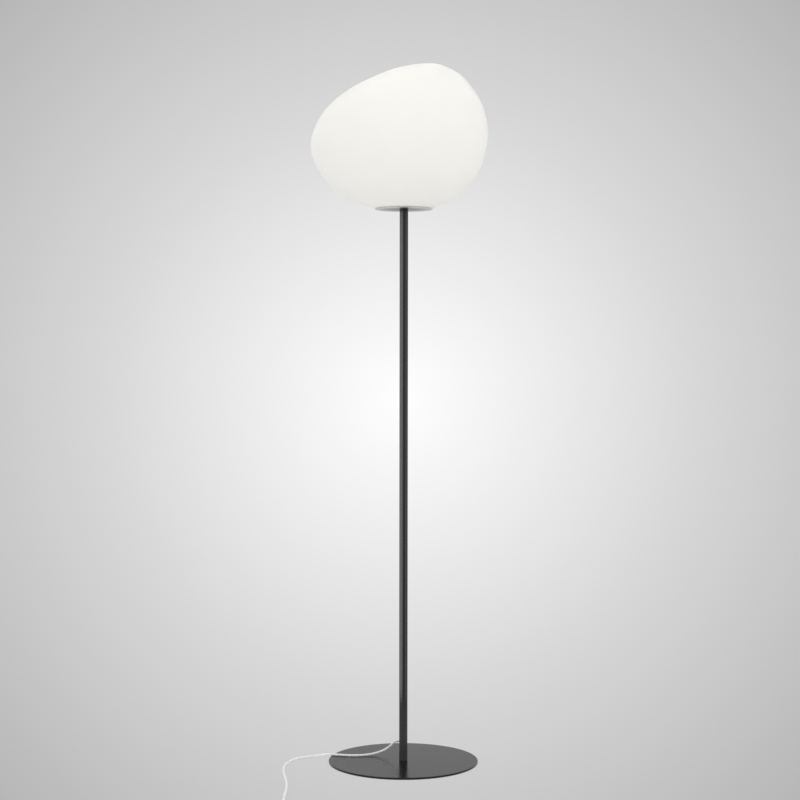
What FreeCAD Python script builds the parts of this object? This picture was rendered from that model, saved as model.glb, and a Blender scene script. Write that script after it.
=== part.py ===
import FreeCAD, Part
import math
import os

# Globe floor lamp: a blown opal glass shade like a large pebble, standing on a
# thin metal dish on top of a slim straight pole, with a round steel foot plate,
# a foot switch and a flat two-pin plug.
#
# Millimetres, +Z up, -Y towards the viewer.  The origin is the centre of the
# felt's underside on the floor, straight below the pole.

Vector = FreeCAD.Vector

# ---------------------------------------------------------------- clearances
THREAD_FIT = 0.05         # between a thread or a pressed piece and its bore
SLIDE_FIT = 0.3           # between pieces that move past each other
SEAT_GAP = 0.3            # between a loose piece and what carries it

# ---------------------------------------------------------------- foot
FELT_THICK = 1.0
FELT_INSET = 3.0          # from the plate's rim to the felt's
PLATE_DIAMETER = 390.0
PLATE_THICK = 5.0
PLATE_EDGE_ROUND = 0.9
SCREW_DIAMETER = 8.0
SCREW_HEAD_DIAMETER = 16.0
SCREW_HEAD_HEIGHT = 4.0
SCREW_REACH = 26.0        # thread above the plate
SCREW_KEY_WIDTH = 5.0
SCREW_KEY_DEPTH = 2.4
SLUG_HEIGHT = 34.0
PIN_DIAMETER = 2.5
PIN_OFFSET = 7.5
PIN_HEIGHT = 12.0

# ---------------------------------------------------------------- pole
POLE_DIAMETER = 22.0
POLE_WALL = 1.5
POLE_LENGTH = 1437.5
BUSH_HEIGHT = 30.0
NIPPLE_DIAMETER = 10.0
NIPPLE_BORE = 7.0
NIPPLE_DEPTH = 24.0       # thread below the pole's top

# ---------------------------------------------------------------- mains cord
CORD_DIAMETER = 6.0
EXIT_HEIGHT = 50.0        # hole in the pole above the plate
EXIT_HEADING = 120.0      # degrees from +X: out of the back, to the left
EXIT_DIP = 18.0           # degrees below level
BUSHING_LENGTH = 20.0
BUSHING_STEM_DIAMETER = 9.6
BUSHING_GRIP = 1.5        # of the stem behind the pole's wall
BUSHING_FLANGE_DIAMETER = 12.0
BUSHING_FLANGE_THICK = 2.2
BUSHING_TIP_DIAMETER = 7.4
CABLE_BEND = 6.0
ARC_SHARE = 0.45          # of the shorter run at a corner that its arc takes
LEAD_DIAMETER = 1.2
LEAD_SPREAD = 3.2

# ---------------------------------------------------------------- dish
DISH_DIAMETER = 149.0
DISH_THICK = 2.0
DISH_EDGE_ROUND = 0.6
DISH_RING_HEIGHT = 4.0
DISH_RING_THICK = 1.5
GASKET_THICK = 0.6
GASKET_WIDTH = 8.0
WASHER_DIAMETER = 30.0
WASHER_THICK = 1.5
NUT_ACROSS = 17.0
NUT_HEIGHT = 5.0
CLIP_WIDTH = 12.0
CLIP_THICK = 0.8
CLIP_FOOT = 16.0
CLIP_HEIGHT = 15.0
CLIP_LEAN = 3.0
CLIP_COUNT = 3
CLIP_SCREW_DIAMETER = 3.0
CLIP_SCREW_HEAD = 5.6
CLIP_SCREW_HEAD_HEIGHT = 1.8

# ---------------------------------------------------------------- glass shade
SHADE_WIDTH = 459.3
SHADE_DEPTH = 394.0
SHADE_HEIGHT = 373.9
SHADE_APEX_SHIFT = 68.0
GLASS_WALL = 3.5
MOUTH_OUTER_DIAMETER = 146.0
MOUTH_BORE = 124.0

# Outline of the shade below its apex: share of its height, reach to the left and
# to the right as shares of its width, and half depth as a share of its depth.
SHADE_OUTLINE = [
    (0.976, -0.013, 0.241, 0.124),
    (0.924, -0.138, 0.316, 0.227),
    (0.844, -0.2745, 0.3775, 0.329),
    (0.734, -0.4015, 0.434, 0.420),
    (0.625, -0.477, 0.4640, 0.4713),
    (0.515, -0.5165, 0.4742, 0.4975),
    (0.405, -0.5258, 0.4631, 0.4980),
    (0.294, -0.4958, 0.4368, 0.4690),
    (0.184, -0.4410, 0.3880, 0.4175),
    (0.104, -0.3710, 0.3250, 0.3560),
    (0.046, -0.2740, 0.2530, 0.2790),
]

# ---------------------------------------------------------------- lampholder
RISER_DIAMETER = 16.0
RISER_LENGTH = 70.0
HOLDER_DIAMETER = 38.0
HOLDER_WALL = 2.0
HOLDER_CAP_HEIGHT = 24.0
HOLDER_CAP_THREAD = 8.0
HOLDER_BODY_HEIGHT = 36.0
HOLDER_RIM = 3.0
INSERT_FLOOR = 9.0
SHELL_BORE = 27.0
SHELL_THICK = 0.5
CONTACT_DIAMETER = 9.0
CONTACT_THICK = 0.8
TERMINAL_SIZE = 6.0
TERMINAL_HEIGHT = 7.0
TERMINAL_SPACING = 17.0
TERMINAL_SCREW = 3.0

# ---------------------------------------------------------------- bulb
BULB_DIAMETER = 95.0
BULB_WALL = 1.2
BULB_NECK = 52.0
BULB_COLLAR_HEIGHT = 26.0
BULB_CAP_WALL = 0.6
BULB_CAP_CHAMFER = 2.0
BULB_INSULATOR_HEIGHT = 4.0
BULB_TIP_DIAMETER = 9.0
BULB_TIP_HEIGHT = 1.6
LED_BOARD_THICK = 1.6

# ---------------------------------------------------------------- foot switch
CORD_FRONT = -550.0       # line of the switch, the coil's start and the plug
SWITCH_MIDDLE = -105.0
SWITCH_LENGTH = 80.0
SWITCH_WIDTH = 36.0
SWITCH_CORNER = 12.0
SWITCH_WALL = 2.0
SWITCH_BASE_HEIGHT = 8.0
SWITCH_COVER_HEIGHT = 12.0
SWITCH_TOP_ROUND = 3.0
SWITCH_FOOT_DIAMETER = 8.0
SWITCH_FOOT_HEIGHT = 1.2
SWITCH_FOOT_OFFSET = 9.0  # from the case's middle, both ways
BOOT_LENGTH = 20.0
BOOT_ROOT_DIAMETER = 10.0
BOOT_TIP_DIAMETER = 7.6
BUTTON_DIAMETER = 24.0
BUTTON_PROUD = 3.5
BUTTON_FLANGE = 1.6
BUTTON_FLANGE_WIDTH = 1.5
BUTTON_TRAVEL = 3.0
BLOCK_LENGTH = 26.0
BLOCK_WIDTH = 15.0
SPRING_DIAMETER = 12.0
SPRING_WIRE = 0.8
SPRING_TURNS = 3
CASE_SCREW_DIAMETER = 2.6
CASE_SCREW_HEAD = 5.0
CASE_SCREW_HEAD_HEIGHT = 2.0
CASE_SCREW_LENGTH = 12.0
CASE_BOSS_DIAMETER = 6.5
CASE_BOSS_CLEAR = 1.0     # between a boss and the case's wall

# ---------------------------------------------------------------- coil and tie
COIL_MIDDLE = 27.0        # the coil's centre along X
COIL_TURNS = 7
COIL_MEAN_DIAMETER = 72.0
COIL_GAP = 0.6            # between neighbouring turns and layers
TIE_WIDTH = 10.0
TIE_THICK = 0.8

# ---------------------------------------------------------------- plug
PLUG_TAIL = 76.0          # from the coil's end to the boot's tip
PLUG_ASIDE = 8.0          # from the switch's line to the plug's
PLUG_LENGTH = 36.0
PLUG_SHOULDER = 14.4      # from its rear to its full width
PLUG_WIDTH = 35.0
PLUG_REAR_WIDTH = 14.0
PLUG_THICK = 14.0
PLUG_ROUND = 2.5
PLUG_PIN_SPACING = 19.0
PLUG_PIN_LENGTH = 19.0
PLUG_PIN_DIAMETER = 4.0
PLUG_SLEEVE_LENGTH = 10.0
PLUG_PIN_CORE = 2.8
PLUG_PIN_ROOT = 5.0

# ---------------------------------------------------------------- worked out
PLATE_TOP = FELT_THICK + PLATE_THICK
POLE_TOP = PLATE_TOP + POLE_LENGTH
POLE_BORE = POLE_DIAMETER - 2 * POLE_WALL
DISH_TOP = POLE_TOP + DISH_THICK
SHADE_BOTTOM = DISH_TOP + GASKET_THICK
SHADE_TOP = SHADE_BOTTOM + SHADE_HEIGHT
DISH_RING_DIAMETER = MOUTH_BORE - 2 * SLIDE_FIT
NUT_BOTTOM = DISH_TOP + WASHER_THICK
RISER_BOTTOM = NUT_BOTTOM + NUT_HEIGHT
RISER_TOP = RISER_BOTTOM + RISER_LENGTH
NIPPLE_TOP = RISER_TOP + HOLDER_CAP_THREAD
HOLDER_BODY_BOTTOM = RISER_TOP + HOLDER_CAP_HEIGHT
HOLDER_TOP = HOLDER_BODY_BOTTOM + HOLDER_BODY_HEIGHT
INSERT_TOP = HOLDER_BODY_BOTTOM + INSERT_FLOOR
CONTACT_TOP = INSERT_TOP + CONTACT_THICK
TIP_BOTTOM = CONTACT_TOP + SEAT_GAP
BULB_CAP_BOTTOM = TIP_BOTTOM + BULB_TIP_HEIGHT + BULB_INSULATOR_HEIGHT
COLLAR_BOTTOM = HOLDER_TOP + SEAT_GAP
COLLAR_TOP = COLLAR_BOTTOM + BULB_COLLAR_HEIGHT
BULB_CAP_DIAMETER = SHELL_BORE - 2 * SLIDE_FIT
BULB_DROP = math.sqrt((BULB_DIAMETER / 2) ** 2 - (BULB_NECK / 2) ** 2)
BULB_CENTRE = COLLAR_TOP + BULB_DROP
CORD_RADIUS = CORD_DIAMETER / 2
CORD_ON_PLATE = PLATE_TOP + CORD_RADIUS
SWITCH_SPLIT = SWITCH_FOOT_HEIGHT + SWITCH_BASE_HEIGHT
SWITCH_TOP = SWITCH_SPLIT + SWITCH_COVER_HEIGHT
SWITCH_FLOOR = SWITCH_FOOT_HEIGHT + SWITCH_WALL
FLANGE_TOP = SWITCH_TOP - SWITCH_WALL - SEAT_GAP
FLANGE_BOTTOM = FLANGE_TOP - BUTTON_FLANGE
BLOCK_TOP = FLANGE_BOTTOM - BUTTON_TRAVEL - SPRING_TURNS * SPRING_WIRE - SLIDE_FIT
SWITCH_BOOT_LEFT = SWITCH_MIDDLE - SWITCH_LENGTH / 2 - BOOT_LENGTH
SWITCH_BOOT_RIGHT = SWITCH_MIDDLE + SWITCH_LENGTH / 2 + BOOT_LENGTH
COIL_PITCH = CORD_DIAMETER + COIL_GAP
COIL_START_RADIUS = COIL_MEAN_DIAMETER / 2 + COIL_TURNS * COIL_PITCH / 4
COIL_CENTRE_Y = CORD_FRONT + COIL_START_RADIUS
COIL_LOW = TIE_THICK + CORD_RADIUS
COIL_HIGH = COIL_LOW + COIL_PITCH
COIL_START = COIL_MIDDLE - CORD_DIAMETER
COIL_END = COIL_MIDDLE + CORD_DIAMETER
PLUG_AXIS = PLUG_THICK / 2
PLUG_LINE = CORD_FRONT - PLUG_ASIDE
PLUG_BOOT_START = COIL_END + PLUG_TAIL
PLUG_REAR = PLUG_BOOT_START + BOOT_LENGTH

# Where the cord leaves the pole: a point on the pole's axis and a direction.
EXIT_DIRECTION = Vector(
    math.cos(math.radians(EXIT_HEADING)) * math.cos(math.radians(EXIT_DIP)),
    math.sin(math.radians(EXIT_HEADING)) * math.cos(math.radians(EXIT_DIP)),
    -math.sin(math.radians(EXIT_DIP)))
EXIT_AT_WALL = POLE_DIAMETER / 2 / math.cos(math.radians(EXIT_DIP))
EXIT_RISE = POLE_DIAMETER / 2 * math.tan(math.radians(EXIT_DIP))
EXIT_POINT = Vector(0, 0, PLATE_TOP + EXIT_HEIGHT + EXIT_RISE)
BUSHING_TIP = EXIT_POINT + EXIT_DIRECTION * (EXIT_AT_WALL + BUSHING_LENGTH)

# The cord's route from the bushing's tip to the foot switch, as it lies in the
# photograph: out of the back of the pole, down in a drooping curve, across the
# plate, over its rim and forward along the floor.  The first two runs and the
# last one are tied to the bushing and to the switch.
CORD_ROUTE = [
    BUSHING_TIP,
    BUSHING_TIP + EXIT_DIRECTION * 10.0,
    Vector(-26.5, 41.9, PLATE_TOP + 34.5),
    Vector(-35.0, 47.4, PLATE_TOP + 24.8),
    Vector(-49.0, 50.0, PLATE_TOP + 14.2),
    Vector(-66.0, 49.0, PLATE_TOP + 7.9),
    Vector(-86.0, 44.5, CORD_ON_PLATE + 0.6),
    Vector(-112.0, 34.5, CORD_ON_PLATE + 0.1),
    Vector(-140.0, 33.0, CORD_ON_PLATE + 0.1),
    Vector(-167.0, 39.5, CORD_ON_PLATE + 0.1),
    Vector(-197.0, 47.5, CORD_ON_PLATE + 0.5),
    Vector(-223.0, 51.0, 5.6),
    Vector(-247.0, 48.0, 3.2),
    Vector(-269.0, 37.0, 3.1),
    Vector(-288.0, 15.0, 3.1),
    Vector(-302.0, -18.0, 3.1),
    Vector(-309.0, -62.0, 3.1),
    Vector(-307.0, -113.0, 3.1),
    Vector(-299.0, -168.0, 3.1),
    Vector(-291.0, -226.0, 3.1),
    Vector(-287.0, -287.0, 3.1),
    Vector(-288.0, -350.0, 3.1),
    Vector(-287.0, -412.0, 3.1),
    Vector(-278.0, -466.0, 3.1),
    Vector(-259.0, -509.0, 3.2),
    Vector(-230.0, -537.0, 4.6),
    Vector(-198.0, CORD_FRONT, SWITCH_SPLIT),
    Vector(SWITCH_BOOT_LEFT, CORD_FRONT, SWITCH_SPLIT),
]

# From the switch to the coil, and from the coil to the plug's boot.
LINK_ROUTE = [
    Vector(SWITCH_BOOT_RIGHT, CORD_FRONT, SWITCH_SPLIT),
    Vector(SWITCH_BOOT_RIGHT + 15.0, CORD_FRONT, SWITCH_SPLIT),
    Vector(SWITCH_BOOT_RIGHT + 33.0, CORD_FRONT - 3.0, 6.5),
    Vector(COIL_START - 15.0, CORD_FRONT, COIL_LOW),
    Vector(COIL_START, CORD_FRONT, COIL_LOW),
]
TAIL_ROUTE = [
    Vector(COIL_END, CORD_FRONT, COIL_HIGH),
    Vector(COIL_END + 18.0, CORD_FRONT, COIL_HIGH),
    Vector(COIL_END + 38.0, CORD_FRONT - 4.0, COIL_HIGH - 1.4),
    Vector(COIL_END + 58.0, PLUG_LINE, PLUG_AXIS),
    Vector(PLUG_BOOT_START, PLUG_LINE, PLUG_AXIS),
]


# ---------------------------------------------------------------- helpers
def save(name, shape):
    """Write one sub-part."""
    shape.exportStep("parts/" + name + ".step")


def cylinder(diameter, bottom, top, x=0.0, y=0.0):
    """Upright round bar between two heights."""
    return Part.makeCylinder(diameter / 2, top - bottom, Vector(x, y, bottom))


def ring(outer, bore, bottom, top, x=0.0, y=0.0):
    """Upright ring between two heights."""
    return cylinder(outer, bottom, top, x, y).cut(cylinder(bore, bottom, top, x, y))


def turned(points):
    """Body of revolution about Z from a closed outline of (radius, height) points."""
    corners = [Vector(radius, 0, height) for radius, height in points]
    face = Part.Face(Part.makePolygon(corners + corners[:1]))
    return face.revolve(Vector(0, 0, 0), Vector(0, 0, 1), 360)


def along(shape, start, direction):
    """Move a shape built along +Z so that it starts at a point and follows a direction."""
    placed = shape.copy()
    placed.Placement = FreeCAD.Placement(start, FreeCAD.Rotation(Vector(0, 0, 1), direction))
    return placed


def rounded_box(length, width, corner, bottom, top, x=0.0, y=0.0):
    """Upright box with four round corners, centred on (x, y)."""
    box = Part.makeBox(length, width, top - bottom, Vector(x - length / 2, y - width / 2, bottom))
    corners = [edge for edge in box.Edges if abs(edge.Vertexes[0].Z - edge.Vertexes[1].Z) > 1e-6]
    return box.makeFillet(corner, corners)


def edges_at(shape, height):
    """Edges that lie level at one height."""
    found = []
    for edge in shape.Edges:
        box = edge.BoundBox
        if abs(box.ZMin - height) < 1e-4 and abs(box.ZMax - height) < 1e-4:
            found.append(edge)
    return found


def arc_from(start, heading, end):
    """Arc that leaves a point along a heading and ends at another point."""
    chord = end - start
    side = heading - chord * (heading.dot(chord) / chord.dot(chord))
    angle = heading.getAngle(chord)
    crown = (start + end) * 0.5 + side.normalize() * (chord.Length / 2 * math.tan(angle / 2))
    return Part.Arc(start, crown, end).toShape()


def tube(edges, diameter):
    """Round solid along a chain of tangent edges."""
    path = Part.Wire(edges)
    start = edges[0].valueAt(edges[0].FirstParameter)
    heading = edges[0].tangentAt(edges[0].FirstParameter)
    section = Part.Wire(Part.makeCircle(diameter / 2, start, heading))
    return path.makePipeShell([section], True, False)


def rounded_route(points, bend=None):
    """Straight runs joined by tangent arcs, and the arcs' radii."""
    edges = []
    radii = []
    last = points[0]
    for before, corner, after in zip(points, points[1:], points[2:]):
        arrive = corner - before
        leave = after - corner
        half_turn = arrive.getAngle(leave) / 2
        tangent = ARC_SHARE * min(arrive.Length, leave.Length)
        if bend is not None:
            tangent = bend * math.tan(half_turn)
        arrive.normalize()
        leave.normalize()
        start = corner - arrive * tangent
        end = corner + leave * tangent
        edges.append(Part.LineSegment(last, start).toShape())
        edges.append(arc_from(start, arrive, end))
        radii.append(tangent / math.tan(half_turn))
        last = end
    edges.append(Part.LineSegment(last, points[-1]).toShape())
    return edges, radii


def cord_stretch(name, points, diameter):
    """One free stretch of the cord, with its smallest radius and its volume checked."""
    edges, radii = rounded_route(points)
    solid = tube(edges, diameter)
    length = sum(edge.Length for edge in edges)
    share = solid.Volume / (math.pi * diameter ** 2 / 4 * length)
    print(name, "length %.0f mm, radii" % length, [round(radius) for radius in radii],
          "volume share %.4f" % share)
    return solid


def turned_arc(start, heading, end):
    """Heading at the end of the arc that leaves a point along a heading."""
    chord = (end - start).normalize()
    return (chord * (2 * heading.dot(chord)) - heading).normalize()


def winding(place, heading, turns):
    """Two tangent arcs for each quarter turn of a winding."""
    edges = []
    for quarter in range(4 * turns):
        start = place(quarter / 4)
        end = place((quarter + 1) / 4)
        leave = heading(quarter / 4)
        arrive = heading((quarter + 1) / 4)
        chord = end - start
        bend = 2 * (1 - leave.dot(arrive))
        pull = 2 * chord.dot(leave + arrive)
        reach = (math.sqrt(pull ** 2 + 4 * bend * chord.dot(chord)) - pull) / (2 * bend)
        middle = (start + end + (leave - arrive) * reach) * 0.5
        edges.append(arc_from(start, leave, middle))
        edges.append(arc_from(middle, turned_arc(start, leave, middle), end))
    return edges


# ---------------------------------------------------------------- foot
def foot():
    """Felt, steel plate, the countersunk screw from below and the pin beside it."""
    save("floor_felt", cylinder(PLATE_DIAMETER - 2 * FELT_INSET, 0, FELT_THICK))

    plate = cylinder(PLATE_DIAMETER, FELT_THICK, PLATE_TOP)
    plate = plate.makeFillet(PLATE_EDGE_ROUND, edges_at(plate, PLATE_TOP))
    plate = plate.makeChamfer(PLATE_EDGE_ROUND / 2, edges_at(plate, FELT_THICK))
    plate = plate.cut(cylinder(SCREW_DIAMETER + 2 * THREAD_FIT, FELT_THICK, PLATE_TOP))
    plate = plate.cut(countersink(2 * THREAD_FIT))
    pin_bottom = PLATE_TOP - PLATE_THICK / 2
    plate = plate.cut(cylinder(PIN_DIAMETER, pin_bottom, PLATE_TOP, PIN_OFFSET))
    save("base_plate", plate)

    screw = countersink(0).fuse(cylinder(SCREW_DIAMETER, FELT_THICK, PLATE_TOP + SCREW_REACH))
    key = Part.Face(Part.makePolygon(hexagon(SCREW_KEY_WIDTH, FELT_THICK)))
    save("base_screw", screw.removeSplitter().cut(key.extrude(Vector(0, 0, SCREW_KEY_DEPTH))))

    pin_top = PLATE_TOP + PIN_HEIGHT
    save("base_locating_pin", cylinder(PIN_DIAMETER, pin_bottom, pin_top, PIN_OFFSET))

    slug = cylinder(POLE_BORE, PLATE_TOP, PLATE_TOP + SLUG_HEIGHT)
    slug = slug.cut(cylinder(SCREW_DIAMETER, PLATE_TOP, PLATE_TOP + SCREW_REACH + SEAT_GAP))
    save("pole_foot_slug", slug.cut(cylinder(PIN_DIAMETER, PLATE_TOP, pin_top, PIN_OFFSET)))


def countersink(play):
    """Cone of the foot screw's head, flush with the plate's underside."""
    return Part.makeCone(SCREW_HEAD_DIAMETER / 2 + play, SCREW_DIAMETER / 2 + play,
                         SCREW_HEAD_HEIGHT, Vector(0, 0, FELT_THICK))


def hexagon(across, height):
    """Closed six-cornered outline, lying level."""
    reach = across / math.sqrt(3)
    corners = []
    for side in range(7):
        angle = math.radians(60 * side)
        corners.append(Vector(reach * math.cos(angle), reach * math.sin(angle), height))
    return corners


# ---------------------------------------------------------------- pole
def pole():
    """Steel tube with the cord's hole near its foot, and the threaded bush in its head."""
    tube_wall = ring(POLE_DIAMETER, POLE_BORE, PLATE_TOP, POLE_TOP)
    hole = along(Part.makeCylinder(BUSHING_STEM_DIAMETER / 2 + THREAD_FIT, POLE_DIAMETER),
                 EXIT_POINT, EXIT_DIRECTION)
    save("pole_tube", tube_wall.cut(hole))

    bush = ring(POLE_BORE, NIPPLE_DIAMETER, POLE_TOP - BUSH_HEIGHT, POLE_TOP)
    save("pole_head_bush", bush)

    nipple = ring(NIPPLE_DIAMETER, NIPPLE_BORE, POLE_TOP - NIPPLE_DEPTH, NIPPLE_TOP)
    save("threaded_nipple", nipple)


def bushing():
    """Tapered strain relief where the cord leaves the pole, seated on its round wall."""
    inner_end = EXIT_AT_WALL - POLE_WALL - BUSHING_GRIP
    shoulder = EXIT_AT_WALL + BUSHING_FLANGE_THICK
    length = shoulder - inner_end
    flange = Part.makeCylinder(BUSHING_FLANGE_DIAMETER / 2, length, Vector(0, 0, inner_end))
    flange = along(flange, EXIT_POINT, EXIT_DIRECTION).cut(cylinder(POLE_DIAMETER, 0, POLE_TOP))
    stem = Part.makeCylinder(BUSHING_STEM_DIAMETER / 2, length, Vector(0, 0, inner_end))
    taper = Part.makeCone(BUSHING_STEM_DIAMETER / 2, BUSHING_TIP_DIAMETER / 2,
                          EXIT_AT_WALL + BUSHING_LENGTH - shoulder, Vector(0, 0, shoulder))
    core = along(stem.fuse(taper), EXIT_POINT, EXIT_DIRECTION)
    save("cord_bushing", flange.fuse(core).removeSplitter())
    return EXIT_POINT + EXIT_DIRECTION * inner_end


def cable_in_pole(start):
    """The cord's stretch inside the pole, up through the nipple, and its two leads."""
    end = Vector(0, 0, NIPPLE_TOP + SEAT_GAP)
    edges, radii = rounded_route([start, EXIT_POINT, end], CABLE_BEND)
    save("pole_cable", tube(edges, CORD_DIAMETER))

    leads = []
    for side in (-1, 1):
        lead_top = HOLDER_BODY_BOTTOM - TERMINAL_HEIGHT
        rise = (lead_top - end.z) / 3
        near = side * LEAD_DIAMETER
        far = side * TERMINAL_SPACING / 2
        route = [Vector(near, 0, end.z), Vector(near, 0, end.z + rise),
                 Vector(far, 0, lead_top - rise), Vector(far, 0, lead_top)]
        leads.append(tube(rounded_route(route)[0], LEAD_DIAMETER))
    save("lead_wires", Part.makeCompound(leads))


# ---------------------------------------------------------------- dish
def dish():
    """Thin metal dish on the pole's head, with the upright ring that centres the glass."""
    plate = cylinder(DISH_DIAMETER, POLE_TOP, DISH_TOP)
    plate = plate.makeFillet(DISH_EDGE_ROUND, edges_at(plate, POLE_TOP) + edges_at(plate, DISH_TOP))
    bore = DISH_RING_DIAMETER - 2 * DISH_RING_THICK
    plate = plate.fuse(ring(DISH_RING_DIAMETER, bore, DISH_TOP, DISH_TOP + DISH_RING_HEIGHT))
    plate = plate.removeSplitter()
    plate = plate.cut(cylinder(NIPPLE_DIAMETER + 2 * THREAD_FIT, POLE_TOP, DISH_TOP))
    for turn in range(CLIP_COUNT):
        plate = plate.cut(around(clip_screw_hole(), turn))
    save("shade_dish", plate)

    outer = DISH_RING_DIAMETER + 2 * SEAT_GAP + 2 * GASKET_WIDTH
    save("dish_gasket", ring(outer, DISH_RING_DIAMETER + 2 * SEAT_GAP, DISH_TOP, SHADE_BOTTOM))

    hole = NIPPLE_DIAMETER + 2 * THREAD_FIT
    save("dish_washer", ring(WASHER_DIAMETER, hole, DISH_TOP, NUT_BOTTOM))
    nut = Part.Face(Part.makePolygon(hexagon(NUT_ACROSS, NUT_BOTTOM))).extrude(Vector(0, 0, NUT_HEIGHT))
    save("dish_nut", nut.cut(cylinder(NIPPLE_DIAMETER, NUT_BOTTOM, RISER_BOTTOM)))


def around(shape, turn):
    """Copy of a clip's piece at one of the clips' places."""
    placed = shape.copy()
    placed.rotate(Vector(0, 0, 0), Vector(0, 0, 1), 360 * turn / CLIP_COUNT + 90)
    return placed


def clip_screw_place():
    """Distance of a clip's screw from the pole's axis."""
    return DISH_RING_DIAMETER / 2 - DISH_RING_THICK - SEAT_GAP - CLIP_THICK - CLIP_FOOT / 2


def clip_screw_hole():
    """Hole in the dish for a clip's screw."""
    return cylinder(CLIP_SCREW_DIAMETER, POLE_TOP, DISH_TOP, clip_screw_place())


def clips():
    """Leaf springs that centre the glass's mouth, each held by a small screw."""
    outer = DISH_RING_DIAMETER / 2 - DISH_RING_THICK - SEAT_GAP
    top = DISH_TOP + CLIP_HEIGHT
    outline = [
        (outer - CLIP_THICK - CLIP_FOOT, DISH_TOP),
        (outer, DISH_TOP),
        (outer, DISH_TOP + DISH_RING_HEIGHT + CLIP_THICK),
        (outer + DISH_RING_THICK, top - CLIP_LEAN),
        (outer - CLIP_LEAN, top),
        (outer - CLIP_LEAN - CLIP_THICK, top),
        (outer + DISH_RING_THICK - CLIP_THICK, top - CLIP_LEAN),
        (outer - CLIP_THICK, DISH_TOP + DISH_RING_HEIGHT + CLIP_THICK),
        (outer - CLIP_THICK, DISH_TOP + CLIP_THICK),
        (outer - CLIP_THICK - CLIP_FOOT, DISH_TOP + CLIP_THICK),
    ]
    corners = [Vector(reach, -CLIP_WIDTH / 2, height) for reach, height in outline]
    strip = Part.Face(Part.makePolygon(corners + corners[:1])).extrude(Vector(0, CLIP_WIDTH, 0))
    strip = strip.cut(cylinder(CLIP_SCREW_DIAMETER, DISH_TOP, DISH_TOP + CLIP_THICK, clip_screw_place()))
    head_bottom = DISH_TOP + CLIP_THICK
    screw = cylinder(CLIP_SCREW_DIAMETER, POLE_TOP + DISH_EDGE_ROUND, head_bottom, clip_screw_place())
    head = cylinder(CLIP_SCREW_HEAD, head_bottom, head_bottom + CLIP_SCREW_HEAD_HEIGHT, clip_screw_place())
    screw = screw.fuse(head)
    save("neck_clips", Part.makeCompound([around(strip, turn) for turn in range(CLIP_COUNT)]))
    save("clip_screws", Part.makeCompound([around(screw, turn) for turn in range(CLIP_COUNT)]))


# ---------------------------------------------------------------- glass shade
def shade_rows(inset):
    """Rows of (height, left, right, half depth) from apex to mouth, set in by a wall."""
    rows = [(SHADE_TOP, SHADE_APEX_SHIFT, SHADE_APEX_SHIFT, 0.0)]
    for height, left, right, deep in SHADE_OUTLINE:
        rows.append((SHADE_BOTTOM + height * SHADE_HEIGHT, left * SHADE_WIDTH,
                     right * SHADE_WIDTH, deep * SHADE_DEPTH))
    mouth = MOUTH_OUTER_DIAMETER / 2
    rows.append((SHADE_BOTTOM, -mouth, mouth, mouth))
    moved = [(SHADE_TOP - inset, SHADE_APEX_SHIFT, SHADE_APEX_SHIFT, 0.0)]
    for above, row, below in zip(rows, rows[1:], rows[2:] + rows[-1:]):
        drop = above[0] - below[0]
        lift = 0.0
        sides = []
        for column, inward in ((1, 1), (2, -1), (3, -1)):
            spread = below[column] - above[column]
            slant = math.hypot(spread, drop)
            sides.append(row[column] + inward * inset * drop / slant)
            lift += inward * inset * spread / slant / 3
        moved.append((row[0] + lift, sides[0], sides[1], sides[2]))
    height, _, reach, _ = moved[-1]
    moved[-1] = (height, -reach, reach, reach)
    return moved


def side_curve(rows, column, marks, sideways):
    """Smooth curve down one side of the shade, level at the apex."""
    points = []
    for row in rows:
        if column == 3:
            points.append(Vector(0, row[3], row[0]))
        else:
            points.append(Vector(row[column], 0, row[0]))
    curve = Part.BSplineCurve()
    last = (points[-1] - points[-2]) * (1 / (marks[-1] - marks[-2]))
    curve.interpolate(Points=points, Parameters=marks, InitialTangent=sideways,
                      FinalTangent=last, Scale=False)
    return curve


def pebble(rows):
    """Closed solid whose level sections are ellipses through the rows."""
    marks = [0.0]
    for above, below in zip(rows, rows[1:]):
        width = math.hypot((below[2] - below[1] - above[2] + above[1]) / 2, below[0] - above[0])
        marks.append(marks[-1] + width)
    left = side_curve(rows, 1, marks, Vector(-1, 0, 0))
    right = side_curve(rows, 2, marks, Vector(1, 0, 0))
    front = side_curve(rows, 3, marks, Vector(0, 1, 0))
    faces = []
    for quarter in range(4):
        first = math.radians(90 * quarter)
        grid = []
        weights = []
        for along_x, along_y, weight in (
                (math.cos(first), math.sin(first), 1.0),
                (math.cos(first) - math.sin(first), math.sin(first) + math.cos(first), math.sqrt(0.5)),
                (-math.sin(first), math.cos(first), 1.0)):
            column = []
            for near, far, deep in zip(left.getPoles(), right.getPoles(), front.getPoles()):
                middle = (near.x + far.x) / 2
                half = (far.x - near.x) / 2
                column.append(Vector(middle + half * along_x, deep.y * along_y, near.z))
            grid.append(column)
            weights.append([weight] * len(column))
        surface = Part.BSplineSurface()
        surface.buildFromPolesMultsKnots(grid, [3, 3], left.getMultiplicities(), [0.0, 1.0],
                                         left.getKnots(), False, False, 2, left.Degree, weights)
        faces.append(surface.toShape())
    mouth = (rows[-1][2] - rows[-1][1]) / 2
    floor = Part.Face(Part.Wire(Part.makeCircle(mouth, Vector(0, 0, rows[-1][0]))))
    return faces, floor


def closed_pebble(rows):
    """The pebble's four faces and flat floor sewn into one solid."""
    faces, floor = pebble(rows)
    shell = Part.Shell(faces + [floor])
    shell.sewShape()
    solid = Part.Solid(shell)
    if solid.Volume < 0:
        solid.reverse()
    return solid


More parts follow.
